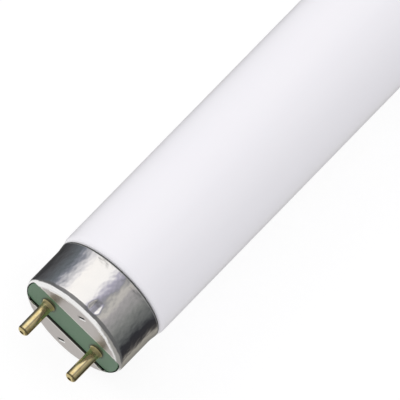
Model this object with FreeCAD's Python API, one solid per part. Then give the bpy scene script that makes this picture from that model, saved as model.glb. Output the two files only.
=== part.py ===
import FreeCAD, Part
import math
import os

# A fluorescent blacklight lamp: a sealed glass tube with a two-pin cap cemented on each end.
# Millimetres, +Z up. The lamp's axis is X, the two pins of a cap stand side by side along Y,
# and the origin is the middle of the lamp. Each end is drawn in its own frame, with the cap's
# end face at x = 0 and the tube towards +x, so an x in that frame is a depth below the face.

Vec = FreeCAD.Vector

# Glass tube
face_to_face = 588.8            # from one cap's end face to the other's
tube_radius = 12.75             # full outside radius
neck_in = 1.65                  # how much smaller the neck's radius is inside the cap
shoulder_round = 1.6            # outward curve where the tube draws in
neck_round = 0.8                # inward curve at the foot of the shoulder
shoulder_past_lip = 1.5         # bare tube between the cap's lip and the full radius
seal_round = 1.4                # rolled edge where the tube is sealed to its stem
seal_clearance = 1.0            # air between the sealed end and the pins' riveted heads
funnel_mouth = 7.6              # radius of the stem's hollow at the sealed end
funnel_waist = 4.4              # radius of the hollow at its bottom, beside the press
funnel_depth = 12.0             # depth of the hollow below the sealed end
stub_radius = 1.9               # exhaust tube, tipped off inside the hollow

# Cap shell
sheet = 0.3                     # wall of the drawn aluminium
cement_wall = 0.8               # thickness of the basing cement
cement_length = 4.35            # along the neck, up to the foot of the shoulder
cap_length = 11.3
rim_round = 1.6                 # outer radius of the bend from end face to skirt
lip_rise = 0.23                 # how far the lip stands out from the skirt
lip_length = 1.8
slot_half = 4.65                # half the width of the slot across the end face
slot_bend = 0.35                # outer radius of the slot's turned-down edges
slot_edge_depth = 1.0           # how deep the turned-down edges reach
slot_end_wall = 0.4             # metal left outside the slot's round ends
slot_corner = 2.0               # radius of the slot's corners

# Chisel marks in the end face, one in each half
mark_offset = 8.7               # from the lamp's axis
mark_angle = 45.0               # degrees from the pins' line
mark_length = 1.9
mark_width = 0.9
mark_depth = 0.35

# Dents that hold the insulator, pressed into the skirt on opposite sides
dent_start = 1.2                # depth below the face where a dent begins
dent_length = 2.9
dent_width = 2.8
dent_depth = 0.34
dent_lead_in = 0.7              # from there the dent grows shallower towards the lip
dent_side_slope = 0.7           # width of the slope at either side
dent_turn = 2.7                 # degrees round from the middle of the skirt's side

# Insulator
plate_recess = 0.4              # its strip lies this far below the end face
strip_gap = 0.1                 # air between the strip and the slot's turned-down edges
strip_end_gap = 0.25            # air at the slot's ends
strip_chamfer = 0.12
disc_thickness = 2.2
disc_clearance = 0.1            # below the slot's edges and the rim's bend, and round the pressed dents
disc_fit = 0.05                 # radial play in the skirt

# Pins
pin_pitch = 12.7
pin_radius = 1.2
pin_length = 7.5                # above the end face
pin_fit = 0.03                  # radial play in the insulator
flange_radius = 1.58
flare_length = 1.4              # the shank widens to the flange over this length
rivet_radius = 1.6              # head closed over behind the insulator
rivet_thickness = 0.4
bore_radius = 0.45

# Lead wires
wire_radius = 0.25
wire_spread = 2.9               # half the distance between the wires where they leave the glass
wire_below_tip = 0.5            # the wire's end lies this far inside the pin's tip
wire_straight = 1.0             # straight stretch behind the riveted head
wire_slant = 4.5                # length over which a wire crosses from stem to pin

neck_radius = tube_radius - neck_in
cap_inner = neck_radius + cement_wall
cap_radius = cap_inner + sheet
slot_edge = slot_half + slot_bend
slot_end_radius = cap_radius - slot_end_wall
disc_top = max(slot_edge_depth, rim_round) + disc_clearance
disc_back = disc_top + disc_thickness
rivet_back = disc_back + rivet_thickness
glass_end = rivet_back + seal_clearance
full_radius_at = cap_length + shoulder_past_lip
pin_offset = pin_pitch / 2


def round_corner(corner, before, after, rounding, chords):
    """Edges of a tangent rounding at a corner: one true arc, or the given number of equal chords."""
    back = (before - corner).normalize()
    ahead = (after - corner).normalize()
    turn = math.pi - back.getAngle(ahead)
    reach = rounding * math.tan(turn / 2)
    centre = corner + (back + ahead).normalize() * (rounding / math.cos(turn / 2))
    from_start = corner + back * reach - centre
    from_end = corner + ahead * reach - centre

    def on_arc(share):
        start_part = from_start * math.sin((1 - share) * turn)
        end_part = from_end * math.sin(share * turn)
        return centre + (start_part + end_part) * (1 / math.sin(turn))

    if not chords:
        return [Part.Arc(on_arc(0), on_arc(0.5), on_arc(1)).toShape()]
    stops = [on_arc(i / chords) for i in range(chords + 1)]
    return [Part.makeLine(start, end) for start, end in zip(stops, stops[1:])]


def outline(corners, place):
    """A face bounded by corners (u, v), (u, v, rounding) or (u, v, rounding, chords), in order round it."""
    points = [place(corner[0], corner[1]) for corner in corners]
    pieces = []
    for i, (point, corner) in enumerate(zip(points, corners)):
        rounding, chords = (tuple(corner[2:]) + (0, 0))[:2]
        after = points[(i + 1) % len(points)]
        rounded = round_corner(point, points[i - 1], after, rounding, chords) if rounding else []
        pieces.append((point, rounded))
    edges = []
    for (point, rounded), (next_point, next_rounded) in zip(pieces, pieces[1:] + pieces[:1]):
        edges += rounded
        start = rounded[-1].lastVertex(True).Point if rounded else point
        end = next_rounded[0].firstVertex(True).Point if next_rounded else next_point
        if start.distanceToPoint(end) > 1e-6:
            edges.append(Part.makeLine(start, end))
    return Part.Face(Part.Wire(edges))


def turned(corners):
    """A solid of revolution about the X axis; u is the place along it and v the radius."""
    face = outline(corners, lambda x, r: Vec(x, 0, r))
    return face.revolve(Vec(0, 0, 0), Vec(1, 0, 0), 360)


def barred(corners, half_length):
    """A bar along Y, both ways from the axis; u is the place along X and v the height."""
    face = outline(corners, lambda x, z: Vec(x, -half_length, z))
    return face.extrude(Vec(0, 2 * half_length, 0))


def about_axis(shape, degrees):
    """A copy turned about the lamp's axis."""
    copy = shape.copy()
    copy.rotate(Vec(0, 0, 0), Vec(1, 0, 0), degrees)
    return copy


def rod(radius, start, end, y=0.0):
    """A cylinder along X."""
    return Part.makeCylinder(radius, end - start, Vec(start, y, 0), Vec(1, 0, 0))


def shoulder_corners(side, x_full):
    """The S-curve between the neck and the full radius, as two corners whose roundings meet."""
    turn = math.acos(1 - neck_in / (shoulder_round + neck_round))
    reach_out = shoulder_round * math.tan(turn / 2)
    reach_in = neck_round * math.tan(turn / 2)
    x_out = x_full - side * reach_out
    x_in = x_out - side * (reach_out + reach_in) * math.cos(turn)
    return (x_in, neck_radius, neck_round, 1), (x_out, tube_radius, shoulder_round, 2)


def glass_end_corners(end, side):
    """One end of the glass from its axis outwards: exhaust stub, hollow, sealed edge and shoulder."""
    def at(depth):
        return end + side * depth
    bottom = at(glass_end + funnel_depth)
    neck_corner, shoulder_corner = shoulder_corners(side, at(full_radius_at))
    return [
        (at(glass_end), 0),
        (at(glass_end), stub_radius),
        (bottom, stub_radius),
        (bottom, funnel_waist),
        (at(glass_end), funnel_mouth),
        (at(glass_end), neck_radius, seal_round, 1),
        neck_corner,
        shoulder_corner,
    ]


def make_glass():
    """The sealed tube, filled, with its true outside and the stem's hollow in each end."""
    left = glass_end_corners(-face_to_face / 2, 1)
    right = glass_end_corners(face_to_face / 2, -1)
    return turned(left + right[::-1])


def slot_form(half_width, end_radius, corner, start, end):
    """A prism along X with straight sides along Y, ends round about the axis, and rounded corners."""
    centre_z = half_width - corner
    centre_y = math.sqrt((end_radius - corner) ** 2 - centre_z ** 2)
    spread = math.atan2(centre_z, centre_y)

    def spot(y, z):
        return Vec(start, y, z)

    def corner_arc(y_side, z_side):
        middle = (spread + math.pi / 2) / 2
        places = [(math.cos(a), math.sin(a)) for a in (spread, middle, math.pi / 2)]
        points = [spot(y_side * (centre_y + corner * c), z_side * (centre_z + corner * s)) for c, s in places]
        return Part.Arc(*points).toShape()

    def end_arc(y_side):
        low, high = (spot(y_side * end_radius * math.cos(spread), z_side * end_radius * math.sin(spread))
                     for z_side in (-1, 1))
        return Part.Arc(low, spot(y_side * end_radius, 0), high).toShape()

    edges = [corner_arc(y_side, z_side) for y_side in (-1, 1) for z_side in (-1, 1)]
    edges += [end_arc(-1), end_arc(1)]
    edges += [Part.makeLine(spot(-centre_y, z), spot(centre_y, z)) for z in (-half_width, half_width)]
    face = Part.Face(Part.Wire(Part.__sortEdges__(edges)))
    return face.extrude(Vec(end - start, 0, 0)), centre_y


def chisel_tool(sink):
    """A short V-shaped prick with sloping ends, in the upper half, its mouth at the depth given."""
    half_length = mark_length / 2
    half_width = mark_width / 2
    foot = half_length - mark_depth
    bottom = sink + mark_depth
    along = barred([(sink, -half_width), (bottom, 0), (sink, half_width)], half_length)
    ends = outline(
        [(sink, -half_length), (bottom, -foot), (bottom, foot), (sink, half_length)],
        lambda x, y: Vec(x, y, -half_width))
    tool = along.common(ends.extrude(Vec(0, 0, mark_width)))
    tool.rotate(Vec(0, 0, 0), Vec(1, 0, 0), -mark_angle)
    tool.translate(Vec(0, 0, mark_offset))
    return tool


def dent_tool(radius, margin):
    """The wedge with sloping sides that presses a dent in from the given radius."""
    start = dent_start - margin
    end = dent_start + dent_length + margin
    half_width = dent_width / 2 + margin
    above = radius + dent_depth
    floor = radius - dent_depth
    along = barred([
        (start, above),
        (start, radius),
        (start + dent_lead_in, floor),
        (end, radius),
        (end, above),
    ], half_width)
    across = outline([
        (-half_width, above),
        (-half_width, radius),
        (dent_side_slope - half_width, floor),
        (half_width - dent_side_slope, floor),
        (half_width, radius),
        (half_width, above),
    ], lambda y, z: Vec(start, y, z))
    return along.common(across.extrude(Vec(end - start, 0, 0)))


def make_cap_shell():
    """The drawn shell: end face with the slot across it, rolled rim, skirt and lip."""
    outside = [
        (0, 0),
        (0, cap_radius, rim_round, 2),
        (cap_length - lip_length, cap_radius),
        (cap_length, cap_radius + lip_rise),
    ]
    inside = [
        (cap_length, cap_inner),
        (sheet, cap_inner, rim_round - sheet, 1),
        (sheet, 0),
    ]
    shell = turned(outside + inside)
    envelope = turned(outside + [(cap_length, 0)])

    slot_depth = rim_round + sheet
    slot, straight_half = slot_form(slot_edge, slot_end_radius, slot_corner, -slot_depth, slot_depth)
    shell = shell.cut(slot)
    turned_edge = barred([
        (0, slot_half, slot_bend),
        (slot_edge_depth, slot_half),
        (slot_edge_depth, slot_half + sheet),
        (slot_bend, slot_half + sheet),
        (sheet, slot_edge),
        (0, slot_edge),
    ], straight_half)
    turned_edge = turned_edge.common(envelope)
    shell = shell.fuse([turned_edge, about_axis(turned_edge, 180)])

    for half in (0, 180):
        bump = dent_tool(cap_inner, sheet / 4).common(rod(cap_inner + sheet / 2, 0, cap_length))
        shell = shell.fuse(about_axis(bump, half + dent_turn))
        shell = shell.cut(about_axis(dent_tool(cap_radius, 0), half + dent_turn))
        shell = shell.fuse(about_axis(chisel_tool(sheet), half))
        shell = shell.cut(about_axis(chisel_tool(0), half))
    return shell.removeSplitter()


def make_insulator():
    """The moulded disc behind the end face, with the strip that fills the slot and carries the pins."""
    disc = rod(cap_inner - disc_fit, disc_top, disc_back)
    strip_end = slot_end_radius - strip_end_gap
    strip = slot_form(slot_half - strip_gap, strip_end, slot_corner, plate_recess, disc_back)[0]
    top_edges = [edge for edge in strip.Edges if edge.BoundBox.XMax < plate_recess + strip_chamfer]
    plate = disc.fuse(strip.makeChamfer(strip_chamfer, top_edges))
    notch_floor = cap_inner - dent_depth - disc_clearance
    notch_half = dent_width / 2 + sheet / 4 + disc_clearance
    notch = Part.makeBox(disc_back, 2 * notch_half, cap_radius, Vec(0, -notch_half, notch_floor))
    for half in (0, 180):
        plate = plate.cut(about_axis(notch, half + dent_turn))
    for y in (-pin_offset, pin_offset):
        plate = plate.cut(rod(pin_radius + pin_fit, 0, 2 * disc_back, y))
    return plate.removeSplitter()


def make_pin(y):
    """A hollow brass pin: rounded tip, shank, flared flange, and a head riveted behind the insulator."""
    tip = -pin_length
    pin = turned([
        (tip, bore_radius),
        (tip, pin_radius, pin_radius - bore_radius, 2),
        (plate_recess - flare_length, pin_radius),
        (plate_recess, flange_radius),
        (plate_recess, pin_radius),
        (disc_back, pin_radius),
        (disc_back, rivet_radius),
        (rivet_back, bore_radius),
    ])
    pin.translate(Vec(0, y, 0))
    return pin


def make_lead(y):
    """A lead wire, from the bottom of the stem's hollow through the pin's bore to its tip."""
    root = Vec(glass_end + funnel_depth, math.copysign(wire_spread, y), 0)
    bends = [
        Vec(rivet_back + wire_straight + wire_slant, root.y, 0),
        Vec(rivet_back + wire_straight, y, 0),
        Vec(wire_below_tip - pin_length, y, 0),
    ]
    path = Part.makePolygon([root] + bends)
    ring = Part.Wire(Part.makeCircle(wire_radius, root, Vec(1, 0, 0)))
    return path.makePipeShell([ring], True, False, 1)


def make_cement():
    """The ring of basing cement between the glass neck and the cap's skirt."""
    neck_corner = shoulder_corners(1, full_radius_at)[0]
    end = neck_corner[0] - neck_round
    start = end - cement_length
    return rod(cap_inner, start, end).cut(rod(neck_radius, start, end))


def end_pieces(front):
    """Every piece of one end, in that end's frame, where the lamp's front is towards front times +y."""
    return {
        "cap_shell": make_cap_shell(),
        "insulator": make_insulator(),
        "pin_front": make_pin(front * pin_offset),
        "pin_rear": make_pin(-front * pin_offset),
        "lead_front": make_lead(front * pin_offset),
        "lead_rear": make_lead(-front * pin_offset),
    }


def to_left(shape):
    """A copy moved from its end's own frame to the lamp's left end."""
    copy = shape.copy()
    copy.translate(Vec(-face_to_face / 2, 0, 0))
    return copy


def to_right(shape):
    """A copy on the right end, which is the left end turned half round about Z."""
    copy = to_left(shape)
    copy.rotate(Vec(0, 0, 0), Vec(0, 0, 1), 180)
    return copy


def all_pieces():
    """The glass, the same six pieces on each end, and the cement of both ends in one node."""
    pieces = {"glass_tube": make_glass()}
    for side, front, move in (("left", -1, to_left), ("right", 1, to_right)):
        for name, shape in end_pieces(front).items():
            pieces[f"{side}_{name}"] = move(shape)
    cement = make_cement()
    pieces["basing_cement"] = Part.makeCompound([to_left(cement), to_right(cement)])
    return pieces


os.makedirs("parts", exist_ok=True)
for node, shape in all_pieces().items():
    if not shape.isValid():
        raise ValueError(f"{node} is not a valid shape")
    shape.exportStep(f"parts/{node}.step")
    print(node, len(shape.Solids), "solid(s)", round(shape.Volume, 2), "mm3")
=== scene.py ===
import math

import bmesh
import bpy
from mathutils import Matrix, Vector


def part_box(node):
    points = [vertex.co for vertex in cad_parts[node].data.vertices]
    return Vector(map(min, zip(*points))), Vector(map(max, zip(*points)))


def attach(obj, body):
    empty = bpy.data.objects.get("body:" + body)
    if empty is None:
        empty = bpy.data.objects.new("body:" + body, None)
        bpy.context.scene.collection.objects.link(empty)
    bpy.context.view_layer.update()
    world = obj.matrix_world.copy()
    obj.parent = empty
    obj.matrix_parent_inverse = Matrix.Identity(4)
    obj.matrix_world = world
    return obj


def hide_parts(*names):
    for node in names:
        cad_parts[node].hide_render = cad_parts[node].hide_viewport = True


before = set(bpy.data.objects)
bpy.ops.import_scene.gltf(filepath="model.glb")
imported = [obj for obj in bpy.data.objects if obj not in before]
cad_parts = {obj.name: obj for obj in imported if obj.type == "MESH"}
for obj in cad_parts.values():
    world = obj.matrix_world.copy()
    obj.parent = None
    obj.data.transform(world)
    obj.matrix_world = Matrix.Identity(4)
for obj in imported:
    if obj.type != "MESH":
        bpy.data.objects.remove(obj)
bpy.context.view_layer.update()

mm = 0.001

# Sizes read from the frame
glass_low, glass_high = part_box("glass_tube")
shell_low, shell_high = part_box("left_cap_shell")
plate_low, plate_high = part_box("left_insulator")
pin_low, pin_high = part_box("left_pin_front")
face_x = shell_low.x
tube_radius = glass_high.z
cap_length = shell_high.x - face_x
lip_radius = shell_high.z
glass_end = glass_low.x - face_x
plate_recess = plate_low.x - face_x
plate_back = plate_high.x - face_x
pin_length = face_x - pin_low.x
rivet_back = pin_high.x - face_x
rivet_radius = pin_high.z
pin_offset = -(pin_low.y + pin_high.y) / 2

# Glass at the shoulder and inside the cap
neck_radius = 11.1 * mm
shoulder_round = 1.6 * mm               # outward curve where the tube draws in
neck_round = 0.8 * mm                   # inward curve at the foot of the shoulder
shoulder_past_lip = 1.5 * mm            # bare tube between the cap's lip and the full radius
full_radius_at = cap_length + shoulder_past_lip
seal_round = 1.4 * mm                   # rolled edge where the tube is sealed to its stem
funnel_mouth = 7.6 * mm                 # radius of the stem's hollow at the sealed end
mouth_round = 0.8 * mm
funnel_waist = 4.4 * mm                 # radius of the hollow at its bottom
waist_round = 1.2 * mm
funnel_depth = 12 * mm
stub_radius = 1.9 * mm                  # exhaust tube, tipped off inside the hollow
stub_round = 0.6 * mm

# Cap shell
sheet = 0.3 * mm                        # wall of the drawn aluminium
cap_radius = 12.2 * mm
cap_inner = cap_radius - sheet
rim_round = 1.6 * mm                    # outer radius of the bend from end face to skirt
lip_length = 1.8 * mm                   # over this length the skirt widens to the lip
lip_blend = 8 * mm                      # radius of the bend where it begins to widen
lip_edge_round = 0.12 * mm
slot_half = 4.65 * mm                   # half the width of the slot across the end face
slot_bend = 0.35 * mm                   # outer radius of the slot's turned-down edges
slot_edge = slot_half + slot_bend       # where the flat of the end face begins
slot_edge_depth = 1.0 * mm              # how deep the turned-down edges reach
slot_edge_round = 0.05 * mm             # at their lower ends
slot_edge_lap = 0.02 * mm               # by which they run into the end face
slot_end_radius = 11.8 * mm             # of the slot's ends, which follow the rim
slot_corner = 3.2 * mm

# Dents that hold the insulator, pressed into the skirt on opposite sides
dent_start = 1.2 * mm                   # depth below the face where a dent begins
dent_length = 2.9 * mm
dent_width = 2.8 * mm
dent_depth = 0.34 * mm
dent_lead_in = 0.7 * mm                 # from there the dent grows shallower towards the lip
dent_side_slope = 0.7 * mm              # width of the slope at either side
dent_round = 0.12 * mm                  # softens the line where the dent is deepest
dent_soften = 0.03 * mm                 # softens the edges of its sides
dent_turn = math.radians(1.5)           # round from straight above and below the axis

# Chisel marks in the end face, one in each half
mark_offset = 8.7 * mm                  # from the lamp's axis
mark_turn = math.radians(45)            # from the pins' line
mark_length = 1.9 * mm
mark_width = 1.1 * mm
mark_depth = 0.35 * mm
mark_overshoot = 0.2                    # part of its depth by which the cutter stands proud

# Pins
pin_radius = 1.2 * mm
flange_radius = 1.58 * mm
flare_length = 1.4 * mm
flare_power = 3                         # how late the flare curls out to the flange
bore_radius = 0.45 * mm
tip_round = 0.68 * mm
pin_edge_round = 0.08 * mm              # at the mouth of the bore and round the flange

# Fineness of the meshes
tube_segments = 256
tube_arc_steps = 12
shell_segments = 384
shell_arc_steps = 10
shell_spacing = 0.12 * mm               # longest step along the shell's outline
slot_arc_steps = 24
edge_arc_steps = 6
pin_segments = 96
pin_arc_steps = 8
flare_steps = 16
tiny = 1e-7                             # points nearer than this are one
sharp_angle = math.radians(35)          # edges between faces that meet more sharply stay sharp
glass_sharp_angle = math.radians(50)


# Meshes

def profile(corners, steps, spacing=None):
    """Points (x, r) along a closed outline of corners (x, r) or (x, r, rounding)."""
    points = []
    count = len(corners)
    for i, corner in enumerate(corners):
        here = Vector(corner[:2])
        if len(corner) == 2:
            points.append(here)
            continue
        back = (Vector(corners[i - 1][:2]) - here).normalized()
        ahead = (Vector(corners[(i + 1) % count][:2]) - here).normalized()
        turn = math.pi - back.angle(ahead)
        reach = corner[2] * math.tan(turn / 2)
        centre = here + (back + ahead).normalized() * (corner[2] / math.cos(turn / 2))
        start = here + back * reach - centre
        end = here + ahead * reach - centre
        for step in range(steps + 1):
            share = step / steps
            part = start * math.sin((1 - share) * turn) + end * math.sin(share * turn)
            points.append(centre + part / math.sin(turn))
    if spacing is None:
        return points
    filled = []
    for point, after in zip(points, points[1:] + points[:1]):
        pieces = max(1, math.ceil((after - point).length / spacing))
        filled += [point.lerp(after, k / pieces) for k in range(pieces)]
    return filled


def link(name, data):
    """A new object in the scene for a mesh, a camera or a light."""
    piece = bpy.data.objects.new(name, data)
    bpy.context.scene.collection.objects.link(piece)
    return piece


def finished(name, made):
    """A new object in the scene for a closed bmesh, with its faces turned outwards."""
    bmesh.ops.recalc_face_normals(made, faces=made.faces)
    mesh = bpy.data.meshes.new(name)
    made.to_mesh(mesh)
    made.free()
    return link(name, mesh)


def lathe(name, points, segments):
    """A closed solid of revolution about the X axis from a closed outline of points (x, r)."""
    made = bmesh.new()
    rings = []
    for point in points:
        if point.y < tiny:
            rings.append([made.verts.new((point.x, 0, 0))])
            continue
        ring = []
        for step in range(segments):
            angle = 2 * math.pi * step / segments
            place = (point.x, point.y * math.cos(angle), point.y * math.sin(angle))
            ring.append(made.verts.new(place))
        rings.append(ring)
    for ring, after in zip(rings, rings[1:] + rings[:1]):
        if len(ring) == 1 and len(after) == 1:
            continue
        for step in range(segments):
            corners = [ring[step % len(ring)], ring[(step + 1) % len(ring)],
                       after[(step + 1) % len(after)], after[step % len(after)]]
            made.faces.new(list(dict.fromkeys(corners)))
    return finished(name, made)


def prism(name, outline, low, high, axis):
    """A closed prism along an axis; its outline gives the next two coordinates in cyclic order."""
    made = bmesh.new()

    def corner(point, along):
        place = [0, 0, 0]
        place[axis] = along
        place[(axis + 1) % 3] = point[0]
        place[(axis + 2) % 3] = point[1]
        return made.verts.new(place)

    bottom = [corner(point, low) for point in outline]
    top = [corner(point, high) for point in outline]
    made.faces.new(bottom)
    made.faces.new(top)
    count = len(outline)
    for i in range(count):
        after = (i + 1) % count
        made.faces.new([bottom[i], bottom[after], top[after], top[i]])
    return finished(name, made)


def apply_modifiers(piece):
    """Replaces a piece's mesh by its evaluated one and drops the modifiers."""
    graph = bpy.context.evaluated_depsgraph_get()
    mesh = bpy.data.meshes.new_from_object(piece.evaluated_get(graph))
    old = piece.data
    piece.modifiers.clear()
    piece.data = mesh
    bpy.data.meshes.remove(old)


def combine(piece, other, operation):
    """Applies a boolean of two closed meshes to the first and removes the second."""
    modifier = piece.modifiers.new("combine", "BOOLEAN")
    modifier.operation = operation
    modifier.solver = "MANIFOLD"
    modifier.object = other
    apply_modifiers(piece)
    bpy.data.meshes.remove(other.data)


def smooth(piece, angle=sharp_angle):
    """Smooth shading with true sharp edges kept, and flat faces kept flat beside roundings."""
    piece.data.polygons.foreach_set("use_smooth", [True] * len(piece.data.polygons))
    piece.data.set_sharp_from_angle(angle=angle)
    modifier = piece.modifiers.new("normals", "WEIGHTED_NORMAL")
    modifier.keep_sharp = True
    apply_modifiers(piece)


# Glass tube, in its real place

def shoulder(side, x_full):
    """The S-curve between neck and full radius, as two corners whose roundings meet."""
    turn = math.acos(1 - (tube_radius - neck_radius) / (shoulder_round + neck_round))
    reach_out = shoulder_round * math.tan(turn / 2)
    reach_in = neck_round * math.tan(turn / 2)
    x_out = x_full - side * reach_out
    x_in = x_out - side * (reach_out + reach_in) * math.cos(turn)
    return (x_in, neck_radius, neck_round), (x_out, tube_radius, shoulder_round)


def glass_corners(end, side):
    """The tube's outline at one end, from the axis out; end is the x of the cap's face there."""
    bottom = end + side * (glass_end + funnel_depth)
    rim = end + side * glass_end
    neck_corner, shoulder_corner = shoulder(side, end + side * full_radius_at)
    return [
        (rim, 0),
        (rim, stub_radius, stub_round),
        (bottom, stub_radius),
        (bottom, funnel_waist, waist_round),
        (rim, funnel_mouth, mouth_round),
        (rim, neck_radius, seal_round),
        neck_corner,
        shoulder_corner,
    ]


def make_glass():
    """The sealed tube with the hollow of its stem at each end."""
    left = glass_corners(face_x, 1)
    right = glass_corners(-face_x, -1)
    tube = lathe("glass_surface", profile(left + right[::-1], tube_arc_steps), tube_segments)
    smooth(tube, glass_sharp_angle)
    return tube


# Pieces of one end, in the end's own frame: the cap's face at x = 0 and the tube towards +x

def rounded_ramp(value, width):
    """The value where it is positive and zero where it is negative, with a soft change."""
    return (value + math.hypot(value, width)) / 2


def dent(point):
    """How far a skirt point is pressed in: a wedge deepest near the rim, with sloping sides."""
    along = point.x - dent_start
    near = dent_depth * along / dent_lead_in
    far = dent_depth * (dent_length - along) / (dent_length - dent_lead_in)
    deep = (near + far - math.hypot(near - far, dent_round)) / 2
    pressed = 0.0
    for half in (0, math.pi):
        angle = math.atan2(-point.y, point.z) - dent_turn - half
        angle = (angle + math.pi) % (2 * math.pi) - math.pi
        aside = abs(angle) * cap_radius - dent_width / 2 + dent_side_slope
        wedge = deep - dent_depth / dent_side_slope * rounded_ramp(aside, dent_soften)
        pressed += rounded_ramp(wedge, dent_soften)
    return pressed


def make_shell(name):
    """The drawn cap: face with slot, rolled rim, dented skirt and lip."""
    outside = [
        (0, 0),
        (0, cap_radius, rim_round),
        (cap_length - lip_length, cap_radius, lip_blend),
        (cap_length, lip_radius, lip_edge_round),
    ]
    inside = [
        (cap_length, cap_inner),
        (sheet, cap_inner, rim_round - sheet),
        (sheet, 0),
    ]
    outline = profile(outside + inside, shell_arc_steps, shell_spacing)
    shell = lathe(name, outline, shell_segments)
    for vertex in shell.data.vertices:
        radius = math.hypot(vertex.co.y, vertex.co.z)
        if radius > cap_inner - sheet:
            share = 1 - dent(vertex.co) / radius
            vertex.co.y *= share
            vertex.co.z *= share
    corner_z = slot_edge - slot_corner
    corner_y = math.sqrt((slot_end_radius - slot_corner) ** 2 - corner_z ** 2)
    combine(shell, slot_cutter(corner_y, corner_z), "DIFFERENCE")
    for side in (-1, 1):
        combine(shell, turned_edge(corner_y, side), "UNION")
        combine(shell, chisel_cutter(side), "DIFFERENCE")
    smooth(shell)
    return shell


def slot_cutter(corner_y, corner_z):
    """The slot as a prism through end face and rim, its round corners about the given centre."""
    spread = math.atan2(corner_z, corner_y)
    corner = []
    for k in range(slot_arc_steps + 1):
        angle = spread + (math.pi / 2 - spread) * k / slot_arc_steps
        corner.append((corner_y + slot_corner * math.cos(angle),
                       corner_z + slot_corner * math.sin(angle)))
    end = []
    for k in range(1, slot_arc_steps):
        angle = spread * (2 * k / slot_arc_steps - 1)
        end.append((slot_end_radius * math.cos(angle), slot_end_radius * math.sin(angle)))
    right = [(y, -z) for y, z in reversed(corner)] + end + corner
    left = [(-y, -z) for y, z in right]
    deep = rim_round + sheet
    return prism("cutter", right + left, -deep, deep, 0)


def turned_edge(reach, side):
    """One straight edge of the slot, turned down through a quarter bend."""
    corners = [
        (0, slot_half, slot_bend),
        (slot_edge_depth, slot_half, slot_edge_round),
        (slot_edge_depth, slot_half + sheet, slot_edge_round),
        (sheet, slot_half + sheet, slot_bend - sheet),
        (sheet, slot_edge + slot_edge_lap),
        (0, slot_edge + slot_edge_lap),
    ]
    outline = [(point.y * side, point.x) for point in profile(corners, edge_arc_steps)]
    return prism("edge", outline, -reach, reach, 1)


def chisel_cutter(side):
    """A slanting V-shaped prick with sloping ends, in one half of the end face."""
    half_length = mark_length / 2
    half_width = mark_width / 2
    over = mark_overshoot * mark_depth
    top = (-over, half_length + over, half_width * (1 + mark_overshoot))
    foot = (mark_depth, half_length - mark_depth, 0)
    made = bmesh.new()
    for x, length, width in (top, foot):
        for y, z in ((-length, -width), (length, -width), (length, width), (-length, width)):
            made.verts.new((x, y, z))
    bmesh.ops.remove_doubles(made, verts=made.verts, dist=tiny)
    bmesh.ops.convex_hull(made, input=made.verts)
    half_turn = Matrix.Rotation(math.pi / 2 * (1 - side), 4, "X")
    slanted = Matrix.Rotation(-mark_turn, 4, "X")
    made.transform(half_turn @ Matrix.Translation((0, 0, mark_offset)) @ slanted)
    return finished("chisel", made)


def make_pin(name, y):
    """A hollow pin with a rounded tip, a trumpet flare to its flange, and its riveted head."""
    flare = []
    for k in range(flare_steps):
        share = k / flare_steps
        x = plate_recess - flare_length * (1 - share)
        flare.append((x, pin_radius + (flange_radius - pin_radius) * share ** flare_power))
    corners = [
        (-pin_length, bore_radius, pin_edge_round),
        (-pin_length, pin_radius, tip_round),
        *flare,
        (plate_recess, flange_radius, pin_edge_round),
        (plate_recess, pin_radius),
        (plate_back, pin_radius),
        (plate_back, rivet_radius),
        (rivet_back, bore_radius),
    ]
    pin = lathe(name, profile(corners, pin_arc_steps), pin_segments)
    pin.data.transform(Matrix.Translation((0, y, 0)))
    smooth(pin)
    return pin


def to_left(piece):
    """Moves a piece from the end's own frame to the left end."""
    piece.data.transform(Matrix.Translation((face_x, 0, 0)))


def to_right(piece):
    """Moves a piece from the end's own frame to the right end, which is turned half round."""
    to_left(piece)
    piece.data.transform(Matrix.Rotation(math.pi, 4, "Z"))


# Materials; the places and zones in them are in millimetres

coating = (0.92, 0.91, 0.943, 1), (0.95, 0.94, 0.968, 1)
skirt_metal = (0.88, 0.885, 0.89, 1), (0.94, 0.94, 0.94, 1)
face_metal = (0.44, 0.415, 0.40, 1), (0.56, 0.53, 0.51, 1)
# painted highlight along the slot's edges
painted_edge_highlight = (0.70, 0.68, 0.64, 1)
# painted shade for the slot's walls, the chisel marks and the lip's end
painted_gap_shade = (0.022, 0.024, 0.018, 1)
phenolic = (0.070, 0.149, 0.081, 1), (0.121, 0.236, 0.136, 1)
# painted shade round the pins on the insulator
painted_pin_shade = (0.012, 0.014, 0.006, 1)
drawn_brass = (0.92, 0.81, 0.46, 1), (0.78, 0.63, 0.31, 1)
tip_brass = (0.42, 0.33, 0.14, 1)
# painted highlight on the pins' flanges
flange_highlight_brass = (1.0, 0.87, 0.45, 1)
# painted shade at the pins' feet
painted_foot_shade = (0.05, 0.04, 0.015, 1)
plated_wire = (0.40, 0.38, 0.36, 1), (0.55, 0.52, 0.50, 1)
baked_cement = (0.36, 0.31, 0.24, 1), (0.52, 0.47, 0.38, 1)
floor_paint = (0.80, 0.80, 0.80, 1), (0.82, 0.82, 0.82, 1)


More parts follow.
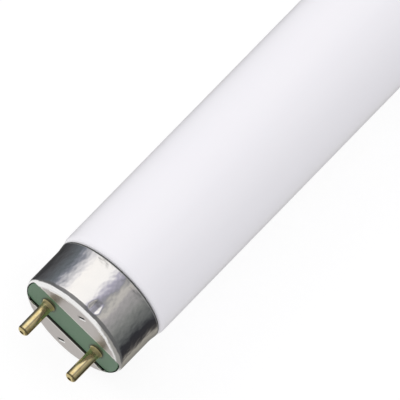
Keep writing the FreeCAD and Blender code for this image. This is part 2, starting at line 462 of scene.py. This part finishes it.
class Nodes:
    """Short calls for building the node tree of a material or of the world.

    A node's inputs go by their names or by their numbers.
    """

    def __init__(self, owner, output="OutputMaterial"):
        self.owner = owner
        owner.use_nodes = True
        self.tree = owner.node_tree
        self.tree.nodes.clear()
        self.output = self.add(output)

    def add(self, kind, inputs=None, **settings):
        node = self.tree.nodes.new("ShaderNode" + kind)
        for key, value in settings.items():
            setattr(node, key, value)
        for key, value in (inputs or {}).items():
            self.put(node, key, value)
        return node

    def put(self, node, key, value):
        """Sets an input to a value, or links it where the value is another node's output."""
        if isinstance(value, bpy.types.NodeSocket):
            self.tree.links.new(value, node.inputs[key])
        else:
            node.inputs[key].default_value = value

    def math(self, operation, a, b=0.0, c=0.0):
        return self.add("Math", {0: a, 1: b, 2: c}, operation=operation).outputs[0]

    def times(self, a, b):
        return self.math("MULTIPLY", a, b)

    def minus(self, a, b):
        return self.math("SUBTRACT", a, b)

    def larger(self, a, b):
        return self.math("MAXIMUM", a, b)

    def absolute(self, a):
        return self.math("ABSOLUTE", a)

    def length(self, a, b):
        """The length of the flat vector (a, b)."""
        return self.math("SQRT", self.math("MULTIPLY_ADD", a, a, self.times(b, b)))

    def mix(self, share, a, b):
        """The colour a, or b where the share is 1."""
        node = self.add("Mix", data_type="RGBA")
        self.put(node, 0, share)
        self.put(node, 6, a)
        self.put(node, 7, b)
        return node.outputs[2]

    def blend(self, share, a, b):
        """The number a, or b where the share is 1."""
        node = self.add("Mix", data_type="FLOAT")
        self.put(node, 0, share)
        self.put(node, 2, a)
        self.put(node, 3, b)
        return node.outputs[0]

    def between(self, value, none, full):
        """A smooth rise from 0 where the value is none to 1 where it is full, in either order."""
        node = self.add("MapRange", {0: value, 1: none, 2: full})
        node.interpolation_type = "SMOOTHSTEP"
        return node.outputs[0]

    def noise(self, vector, scale, detail=3.0, roughness=0.5):
        inputs = {"Vector": vector, "Scale": scale, "Detail": detail, "Roughness": roughness}
        return self.add("TexNoise", inputs).outputs[0]

    def place(self):
        """The point in the row frame, in millimetres, as a vector and as its three parts."""
        spot = self.add("TexCoord").outputs["Object"]
        scaled = self.add("VectorMath", {0: spot, "Scale": 1 / mm}, operation="SCALE").outputs[0]
        parts = self.add("SeparateXYZ", {0: scaled}).outputs
        return scaled, parts[0], parts[1], parts[2]

    def joined(self, x, y, z=0.0):
        return self.add("CombineXYZ", {0: x, 1: y, 2: z}).outputs[0]

    def bump(self, height, distance, strength, normal=None):
        node = self.add("Bump", {"Height": height, "Distance": distance, "Strength": strength})
        if normal:
            self.put(node, "Normal", normal)
        return node.outputs[0]

    def seen(self):
        """1 for what the camera sees, straight or through a clear surface, and 0 for light."""
        path = self.add("LightPath").outputs
        return self.larger(path["Is Camera Ray"], path["Is Transmission Ray"])

    def finish(self, inputs):
        """Ends a material with its surface and returns it."""
        self.put(self.output, 0, self.add("BsdfPrincipled", inputs).outputs[0])
        return self.owner


def new_nodes(name):
    return Nodes(bpy.data.materials.new(name))


def glass_material():
    """White coating under smooth glass, with the slightest unevenness of the coating."""
    nodes = new_nodes("coated_glass")
    spot, x, y, z = nodes.place()
    around = nodes.math("ARCTAN2", y, z)
    drawn = nodes.joined(nodes.times(x, 0.02), nodes.times(around, 3.0))
    streaks = nodes.noise(drawn, scale=1.5, detail=2.0)
    clouds = nodes.noise(spot, scale=0.05)
    cover = nodes.blend(0.5, streaks, clouds)
    return nodes.finish({
        "Base Color": nodes.mix(cover, *coating),
        "Roughness": nodes.blend(clouds, 0.16, 0.26),
        "Normal": nodes.bump(streaks, distance=0.02 * mm, strength=0.3),
        "IOR": 1.5,
        "Specular IOR Level": 0.25,
        "Sheen Weight": 0.5,
        "Sheen Roughness": 0.3,
    })


def shell_material():
    """Drawn aluminium: bright skirt and rim, duller grained end face, painted shade in slot, marks
    and at the lip's end.
    """
    nodes = new_nodes("drawn_aluminium")
    spot, x, y, z = nodes.place()
    depth = nodes.minus(-face_x / mm, nodes.absolute(x))
    radius = nodes.length(y, z)
    height = nodes.absolute(z)
    around = nodes.times(nodes.math("ARCTAN2", y, z), cap_radius / mm)
    drawn = nodes.joined(nodes.times(depth, 9.0), nodes.times(around, 0.12))
    rings = nodes.noise(drawn, scale=1.0, detail=4.0, roughness=0.6)
    grain = nodes.noise(spot, scale=5.0, detail=4.0, roughness=0.65)
    clouds = nodes.noise(spot, scale=0.35, detail=2.0)

    # The face's dull finish fades out on the rim's bend
    flat_radius = (cap_radius - rim_round) / mm
    on_face = nodes.between(radius, flat_radius + 0.75, flat_radius + 0.15)
    # Painted shade: the slot's turned-down walls and the bottoms of the chisel marks are painted
    # near-black, dull and not metal
    sunk = nodes.times(on_face, nodes.between(depth, 0.004, 0.03))
    edge = slot_edge / mm
    in_slot = nodes.between(height, edge - 0.05, edge - 0.2)
    mark_reach = 1.5
    from_mark = nodes.absolute(nodes.minus(height, mark_offset / mm))
    at_mark = nodes.math("LESS_THAN", from_mark, mark_reach)
    mark_bottom = nodes.times(at_mark, nodes.between(depth, 0.11, 0.15))
    slot_mark_shade = nodes.times(sunk, nodes.larger(in_slot, mark_bottom))
    dull = nodes.times(on_face, nodes.minus(1.0, nodes.times(sunk, at_mark)))
    # Painted shade: a dark line round the lip's end, for the shadow in the gap between lip and
    # glass
    lip_end = nodes.between(depth, cap_length / mm - 0.38, cap_length / mm - 0.22)
    dark = nodes.larger(slot_mark_shade, nodes.times(lip_end, 0.95))

    # Painted highlight: the face is lighter in a band along the slot's edges, for the highlight on
    # their bends
    edge_highlight = nodes.between(height, edge + 0.4, edge + 0.1)
    face = nodes.mix(edge_highlight, nodes.mix(grain, *face_metal), painted_edge_highlight)
    metal = nodes.mix(dull, nodes.mix(clouds, *skirt_metal), face)
    rough = nodes.blend(dull, nodes.blend(rings, 0.08, 0.16), 0.40)
    lines = nodes.bump(rings, distance=0.012 * mm, strength=0.5)
    swell = nodes.bump(clouds, distance=0.25 * mm, strength=0.7, normal=lines)
    pits = nodes.bump(nodes.times(grain, dull), distance=0.02 * mm, strength=0.5, normal=swell)
    return nodes.finish({
        "Base Color": nodes.mix(dark, metal, painted_gap_shade),
        "Metallic": nodes.blend(dark, 1.0, 0.0),
        "Roughness": nodes.blend(dark, rough, 0.7),
        "Normal": pits,
    })


def insulator_material():
    """Grey-green moulded phenolic with a fine mottle and painted shade round the pins."""
    nodes = new_nodes("phenolic")
    spot, _, y, z = nodes.place()
    mottle = nodes.noise(spot, scale=1.6, detail=5.0, roughness=0.6)
    fine = nodes.noise(spot, scale=9.0)
    colour = nodes.mix(nodes.blend(0.35, mottle, fine), *phenolic)
    # Painted shade: the strip is darker round the pins' feet, for the shade there
    aside = nodes.minus(nodes.absolute(y), pin_offset / mm)
    across = nodes.times(z, 0.62)       # the painted shade reaches further across the strip than along it
    from_pin = nodes.length(aside, across)
    pin_shade_share = nodes.times(nodes.between(from_pin, 2.05, 1.45), 0.85)
    return nodes.finish({
        "Base Color": nodes.mix(pin_shade_share, colour, painted_pin_shade),
        "Roughness": nodes.blend(mottle, 0.42, 0.6),
        "Normal": nodes.bump(fine, distance=0.02 * mm, strength=0.4),
    })


def pin_material():
    """Brass with lengthwise drawing lines, stained in places, with a painted highlight on the
    flange and painted shade at its foot.
    """
    nodes = new_nodes("pin_brass")
    spot, x, y, z = nodes.place()
    off = nodes.minus(nodes.absolute(y), pin_offset / mm)
    around = nodes.times(nodes.math("ARCTAN2", off, z), pin_radius / mm)
    drawn = nodes.joined(nodes.times(x, 0.35), nodes.times(around, 6.0))
    lines = nodes.noise(drawn, scale=1.0, roughness=0.6)
    stain = nodes.noise(spot, scale=0.8, detail=4.0, roughness=0.6)

    # Zones along the pin, by how far they stand out from the cap's face
    out = nodes.minus(nodes.absolute(x), -face_x / mm)
    tip = nodes.between(out, pin_length / mm - 0.9, pin_length / mm - 0.3)
    flared = nodes.between(out, 2.6, 1.2)
    # Painted highlight: where the flare meets the flange the brass is painted brighter, and it is
    # rougher there
    pressed = nodes.between(out, 0.65, 0.35)
    plate = -plate_recess / mm
    # Painted shade: the pin is dark at its foot, where it meets the insulator
    foot = nodes.between(out, plate + 0.12, plate + 0.03)

    colour = nodes.mix(nodes.between(stain, 0.4, 0.7), *drawn_brass)
    colour = nodes.mix(nodes.times(tip, 0.6), colour, tip_brass)
    colour = nodes.mix(pressed, colour, flange_highlight_brass)
    rough = nodes.blend(flared, nodes.blend(lines, 0.08, 0.16), 0.24)
    return nodes.finish({
        "Base Color": nodes.mix(foot, colour, painted_foot_shade),
        "Metallic": 1.0,
        "Roughness": nodes.blend(pressed, rough, 0.32),
        "Normal": nodes.bump(lines, distance=0.006 * mm, strength=0.4),
    })


def plain_material(name, colours, scale, metallic, roughness, bump):
    """A mottled material for the pieces that are hardly seen."""
    nodes = new_nodes(name)
    grain = nodes.noise(nodes.place()[0], scale, detail=4.0, roughness=0.6)
    return nodes.finish({
        "Base Color": nodes.mix(grain, *colours),
        "Metallic": metallic,
        "Roughness": nodes.blend(grain, roughness, roughness + 0.15),
        "Normal": nodes.bump(grain, distance=bump, strength=0.5),
    })


def dress(piece, material):
    """Makes a material the only one of a piece."""
    piece.data.materials.clear()
    piece.data.materials.append(material)


# Camera: how the lamp lies in the picture, whose origin is its upper left corner
picture_px = 400
face_px = (71.3, 329.4)                 # middle of the near cap's end face
px_per_m = 5220                         # scale there
rise = math.radians(45.66)              # slope of the lamp's axis in the picture
depth_share = 0.336                     # part of the axis that points at the camera
distance = 3.2                          # from the camera to what it is aimed at
sensor_width = 36
clip_near = 0.1
clip_far = 50


def make_camera():
    """A long lens in front of the near cap, turned so that the lamp rises to the right."""
    towards = Vector((-depth_share, 0, math.sqrt(1 - depth_share ** 2)))
    along = Vector((towards.z, 0, depth_share))
    right = along * math.cos(rise) - Vector((0, math.sin(rise), 0))
    up = along * math.sin(rise) + Vector((0, math.cos(rise), 0))
    from_face = right * (picture_px / 2 - face_px[0]) + up * (face_px[1] - picture_px / 2)
    aim = Vector((face_x, 0, 0)) + from_face / px_per_m
    data = bpy.data.cameras.new("camera")
    data.sensor_width = sensor_width
    data.lens = px_per_m * distance * sensor_width / picture_px
    data.clip_start = clip_near
    data.clip_end = clip_far
    camera = link("camera", data)
    turn = Matrix((right, up, towards)).transposed().to_4x4()
    camera.matrix_world = Matrix.Translation(aim + towards * distance) @ turn
    bpy.context.scene.camera = camera


# Studio

# Brightness of the surroundings as a metal surface shows them, by angle round the lamp's axis:
# 0 is straight up, 90 level with the front (-Y) and -90 level with the rear (+Y), in degrees
surroundings = [
    (-180, (0.10, 0.10, 0.10)),
    (-150, (0.04, 0.04, 0.042)),        # black flag behind
    (-125, (0.085, 0.085, 0.09)),
    (-95, (0.14, 0.155, 0.17)),         # dim wall
    (-85, (0.24, 0.25, 0.29)),
    (-64, (0.86, 0.83, 0.83)),          # large soft box
    (-56, (1.04, 1.00, 0.96)),
    (-18, (1.02, 0.99, 0.96)),
    (-5, (0.45, 0.43, 0.52)),           # gap in which the camera stands
    (7, (0.27, 0.265, 0.30)),
    (14, (0.36, 0.35, 0.34)),
    (22, (0.56, 0.53, 0.49)),           # narrow soft box
    (32, (0.39, 0.37, 0.37)),
    (62, (0.215, 0.22, 0.21)),          # wall in front
    (88, (0.095, 0.10, 0.10)),
    (102, (0.028, 0.028, 0.033)),       # black flag in front
    (120, (0.035, 0.034, 0.036)),
    (130, (0.14, 0.13, 0.12)),
    (140, (0.35, 0.33, 0.29)),          # edge of the table
    (155, (0.24, 0.23, 0.20)),
    (180, (0.24, 0.24, 0.24)),
]

# What stands beyond the near end instead, with its edges by the direction's x, y and z
net_shine = (0.12, 0.12, 0.12, 1)       # dark net
net_opening = 0.12                      # share of the boxes' light that comes through it
net_edge = (-0.04, 0.12)                # x, from inside the net to outside it
table_shine = (0.92, 0.91, 0.90, 1)     # white table below the net
table_edge = (-0.47, -0.60)             # x at level height, from off the table to on it
table_slope = 0.58                      # the edge's change of x with z
low_from = 0.6                          # lower than this the edge slopes more
low_slope = 0.6                         # by so much
front_shine = (0.34, 0.33, 0.31, 1)     # the table's front part, which lies in the shade
front_edge = (-0.25, -0.52)             # y, from the lit part to the shaded one

soft_light = (0.985, 0.98, 1.0, 1)
soft_strength = 0.80
white = (1, 1, 1, 1)


def make_world():
    """White behind the object, soft light on it, and boxes, flags and table in its reflections."""
    world = bpy.data.worlds.new("studio")
    bpy.context.scene.world = world
    nodes = Nodes(world, "OutputWorld")
    direction = nodes.add("TexCoord").outputs["Generated"]
    x, y, z = nodes.add("SeparateXYZ", {0: direction}).outputs
    angle = nodes.math("ARCTAN2", nodes.times(y, -1), z)
    share = nodes.add("MapRange", {0: angle, 1: -math.pi, 2: math.pi}).outputs[0]
    ramp = nodes.add("ValToRGB", {0: share})
    stops = ramp.color_ramp.elements    # a new ramp has two
    for i, (degrees, colour) in enumerate(surroundings):
        place = (degrees + 180) / 360
        stop = stops[i] if i < 2 else stops.new(place)
        stop.position = place
        stop.color = (*colour, 1)
    netted = nodes.mix(net_opening, net_shine, ramp.outputs[0])
    above = nodes.mix(nodes.between(x, *net_edge), netted, ramp.outputs[0])
    below = nodes.math("MINIMUM", nodes.math("ADD", z, low_from), 0.0)
    bent = nodes.math("MULTIPLY_ADD", below, low_slope, x)
    slant = nodes.math("MULTIPLY_ADD", z, table_slope, bent)
    table = nodes.mix(nodes.between(y, *front_edge), table_shine, front_shine)
    shine = nodes.mix(nodes.between(slant, *table_edge), above, table)

    soft = nodes.add("Background", {0: soft_light, 1: soft_strength}).outputs[0]
    glossy = nodes.add("Background", {0: shine}).outputs[0]
    backdrop = nodes.add("Background", {0: white}).outputs[0]
    reflected = nodes.add("LightPath").outputs["Is Glossy Ray"]
    lit = nodes.add("MixShader", {0: reflected, 1: soft, 2: glossy}).outputs[0]
    whole = nodes.add("MixShader", {0: nodes.seen(), 1: lit, 2: backdrop}).outputs[0]
    nodes.put(nodes.output, 0, whole)


floor_half = 20
floor_seen = (0.22, 0.22, 0.22, 1)      # its paint as the camera sees it, which keeps the shadow
floor_glow = 0.826                      # the white that is added to it for the camera


def make_floor():
    """A pale floor that the tube lies on: it shows the shadow, and else the backdrop's white."""
    level = -tube_radius
    corners = [(-floor_half, -floor_half, level), (floor_half, -floor_half, level),
               (floor_half, floor_half, level), (-floor_half, floor_half, level)]
    mesh = bpy.data.meshes.new("floor")
    mesh.from_pydata(corners, [], [(0, 1, 2, 3)])
    floor = link("floor", mesh)
    nodes = new_nodes("pale_floor")
    seen = nodes.seen()
    tint = nodes.noise(nodes.place()[0], scale=0.004, detail=2.0)
    nodes.finish({
        "Base Color": nodes.mix(seen, nodes.mix(tint, *floor_paint), floor_seen),
        "Roughness": 0.9,
        "Specular IOR Level": 0.0,
        "Emission Color": white,
        "Emission Strength": nodes.times(seen, floor_glow),
    })
    dress(floor, nodes.owner)
    floor.visible_glossy = False


def make_light(name, place, size, power, colour):
    """A large soft light aimed at the middle of the lamp, which metal doesn't reflect."""
    data = bpy.data.lights.new(name, "AREA")
    data.shape = "DISK"
    data.size = size
    data.energy = power
    data.color = colour
    light = link(name, data)
    light.location = place
    light.rotation_mode = "QUATERNION"
    light.rotation_quaternion = Vector(place).to_track_quat("Z", "Y")
    light.visible_camera = False
    light.visible_glossy = False


make_camera()
make_world()
make_floor()
make_light("key", place=(-1.0, 3.2, 2.4), size=2.5, power=36, colour=(1.0, 0.995, 0.985))
make_light("fill", place=(0.5, -3.0, 2.0), size=2.5, power=3, colour=(0.96, 0.98, 1.0))

glass = make_glass()
dress(glass, glass_material())
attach(glass, "root")
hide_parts("glass_tube")

cap_metal = shell_material()
brass = pin_material()
green = insulator_material()
wire = plain_material("lead_wire", plated_wire, scale=3.0, metallic=1.0, roughness=0.35,
                      bump=0.01 * mm)
cement = plain_material("cement", baked_cement, scale=2.5, metallic=0.0, roughness=0.85,
                        bump=0.05 * mm)

for end, place, front in (("left", to_left, -1), ("right", to_right, 1)):
    shell = make_shell(end + "_shell_surface")
    place(shell)
    dress(shell, cap_metal)
    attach(shell, "root")
    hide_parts(end + "_cap_shell")
    for side, sign in (("front", front), ("rear", -front)):
        pin = make_pin(f"{end}_pin_{side}_surface", sign * pin_offset)
        place(pin)
        dress(pin, brass)
        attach(pin, "root")
        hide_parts(f"{end}_pin_{side}")
        dress(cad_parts[f"{end}_lead_{side}"], wire)
    dress(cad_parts[end + "_insulator"], green)
dress(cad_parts["basing_cement"], cement)

bpy.context.scene.view_settings.view_transform = "Standard"
